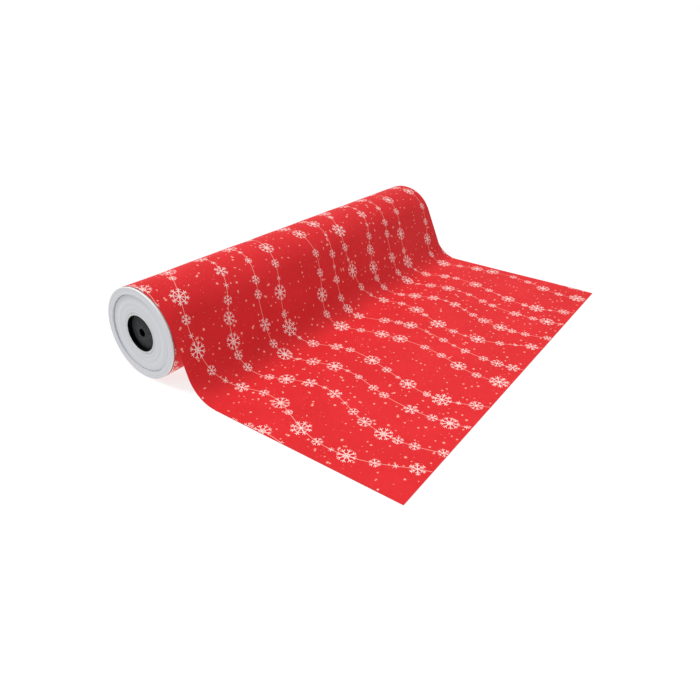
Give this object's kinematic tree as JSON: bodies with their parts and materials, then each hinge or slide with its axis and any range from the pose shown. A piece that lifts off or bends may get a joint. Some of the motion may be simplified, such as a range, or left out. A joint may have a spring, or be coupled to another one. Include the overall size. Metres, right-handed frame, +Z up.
{
  "type": "wrapping paper roll",
  "caption": "Counter roll of printed gift wrap on a cardboard core with plastic end plugs, its free end drawn off the top and laid flat.",
  "frame": {"origin": "on the table, at the middle of the object's footprint, on the underside of the free sheet", "axes": "+Z up, Y along the roll's axis with the near end at -Y, +X the way the sheet is pulled off the top of the roll"},
  "size_m": [0.3539, 0.5012, 0.0975],
  "materials": {
    "board": "matte spiral-wound board",
    "plug_plastic": "matte moulded plastic",
    "tape": "thin cloudy adhesive tape",
    "wound_paper": "cut edges of wound white-backed paper",
    "printed_paper": "semi-matte red print with snowflake strings"
  },
  "bodies": {
    "sheet": {"sheet_drape": "printed_paper", "sheet_flat": "printed_paper"},
    "roll": {"core_tube": "board", "near_core_plug": "plug_plastic", "far_core_plug": "plug_plastic", "start_tape": "tape", "inner_paper_pack": "wound_paper", "outer_paper_pack": "wound_paper", "outermost_lap": "printed_paper"},
    "leader": {"paid_out_length": "printed_paper"}
  },
  "joints": [
    {"name": "roll_turn", "type": "hinge", "parent": "sheet", "child": "roll", "pos_m": [-0.12821, 0, 0.04875], "axis": [0, 1, 0], "range_deg": [0, 235.06]},
    {"name": "sheet_pull", "type": "slide", "parent": "sheet", "child": "leader", "axis": [1, 0, 0], "range_m": [0, 0.20001]}
  ],
  "couplings": [
    {"joint": "sheet_pull", "follows": "roll_turn", "m_per_rad": 0.04875}
  ]
}
